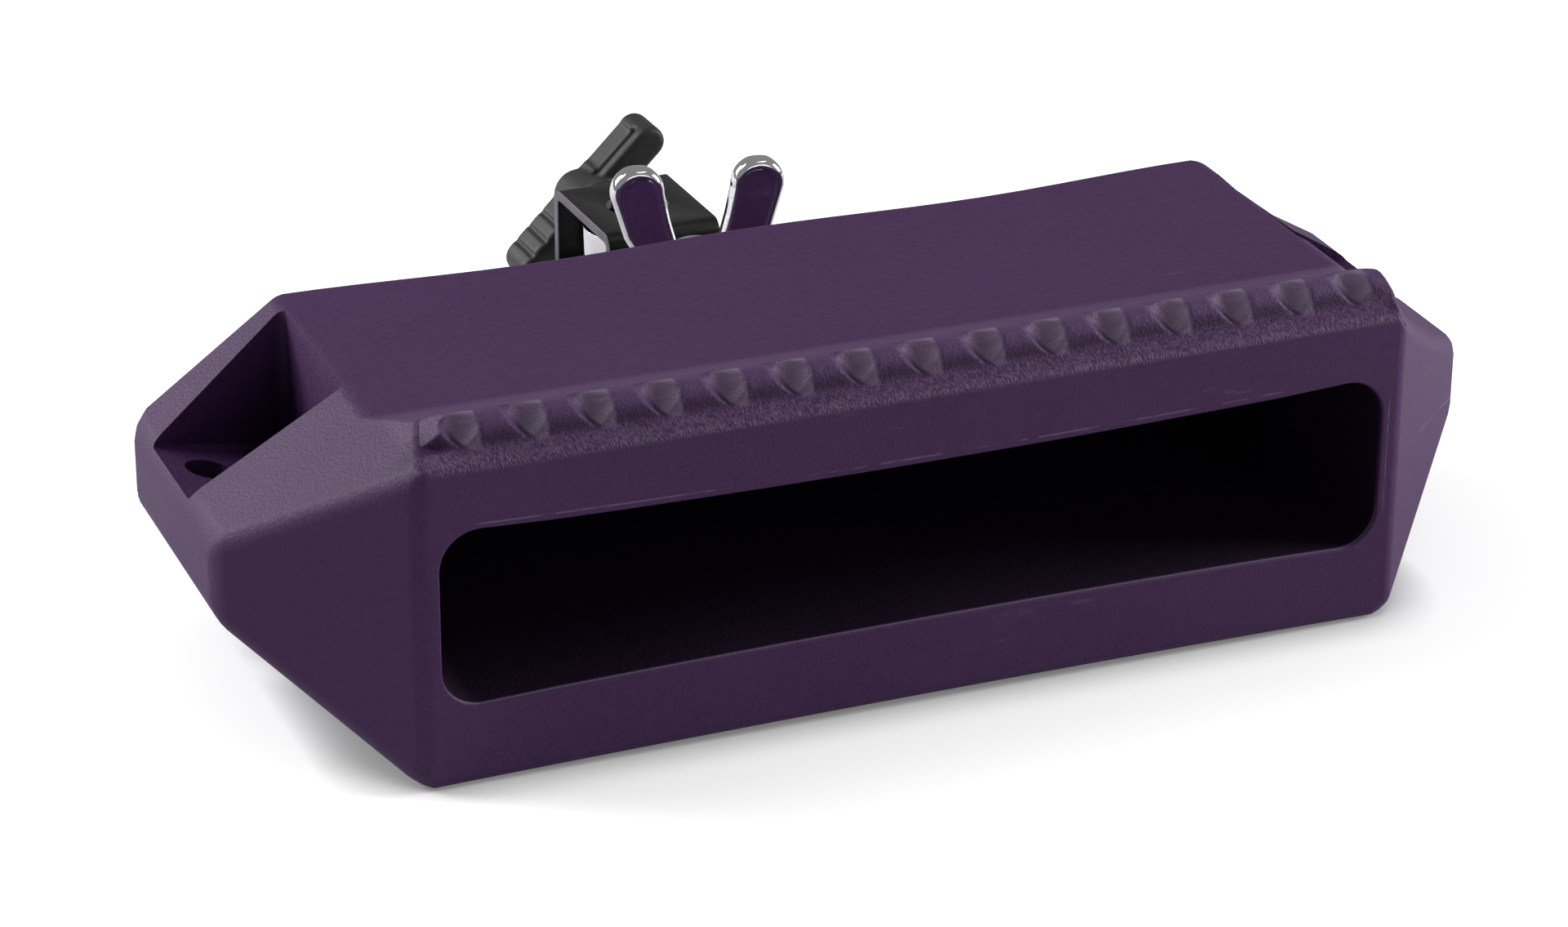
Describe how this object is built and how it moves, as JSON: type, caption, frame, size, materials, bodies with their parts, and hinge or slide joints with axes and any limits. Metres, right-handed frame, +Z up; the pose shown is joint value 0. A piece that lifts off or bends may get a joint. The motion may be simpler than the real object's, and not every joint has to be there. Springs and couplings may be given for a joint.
{
  "type": "percussion block",
  "caption": "Hollow plastic percussion block with a long front mouth, a scalloped scraper ridge and a swivelling bracket that clamps it to an upright stand rod.",
  "frame": {"origin": "centre of the block's flat base", "axes": "+X along the block's length, -Y out of the mouth, +Z up; the rod clamp is on the +Y side"},
  "size_m": [0.2868, 0.2084, 0.0778],
  "materials": {
    "block_plastic": "matt purple moulded plastic with a fine grain",
    "isolator_rubber": "matt black rubber",
    "zinc_steel": "bright zinc plate",
    "black_steel": "satin black coating with bare grey sheared edges",
    "chrome": "polished chrome plate",
    "nylon": "natural nylon",
    "brass": "turned brass",
    "knob_plastic": "satin black moulded plastic"
  },
  "bodies": {
    "block_body": {"block": "block_plastic", "bolt_plate": "zinc_steel", "swivel_bolt": "zinc_steel", "lower_isolator": "isolator_rubber", "upper_isolator": "isolator_rubber", "spacer_sleeve": "zinc_steel"},
    "bracket": {"clamp_bracket": "black_steel", "foot_washer": "zinc_steel", "knob_washer": "zinc_steel"},
    "nut_washer": {"lock_washer": "zinc_steel"},
    "wing_nut": {"wing_nut": "chrome"},
    "eye_bolt": {"eye_bolt": "chrome"},
    "knob": {"hand_knob": "knob_plastic", "knob_insert": "brass", "nylon_washer": "nylon"}
  },
  "joints": [
    {"name": "bracket_swivel", "type": "hinge", "parent": "block_body", "child": "bracket", "pos_m": [0, 0.082, 0.039], "axis": [0, 0, 1], "range_deg": [-77, 73]},
    {"name": "nut_travel", "type": "slide", "parent": "block_body", "child": "nut_washer", "axis": [0, 0, 1], "range_m": [0, 0.0025]},
    {"name": "nut_spin", "type": "hinge", "parent": "nut_washer", "child": "wing_nut", "pos_m": [0, 0.082, 0.048], "axis": [0, 0, 1], "range_deg": [0, 721]},
    {"name": "eye_travel", "type": "slide", "parent": "bracket", "child": "eye_bolt", "axis": [-0.0349, 0.9994, 0], "range_m": [-0.001, 0.00175]},
    {"name": "knob_spin", "type": "hinge", "parent": "bracket", "child": "knob", "pos_m": [-0.00199, 0.13897, 0.039], "axis": [-0.0349, 0.9994, 0], "range_deg": [-505, 289]}
  ],
  "couplings": [
    {"joint": "nut_spin", "follows": "nut_travel", "rad_per_m": 5026.5},
    {"joint": "knob_spin", "follows": "eye_travel", "rad_per_m": -5026.5}
  ]
}
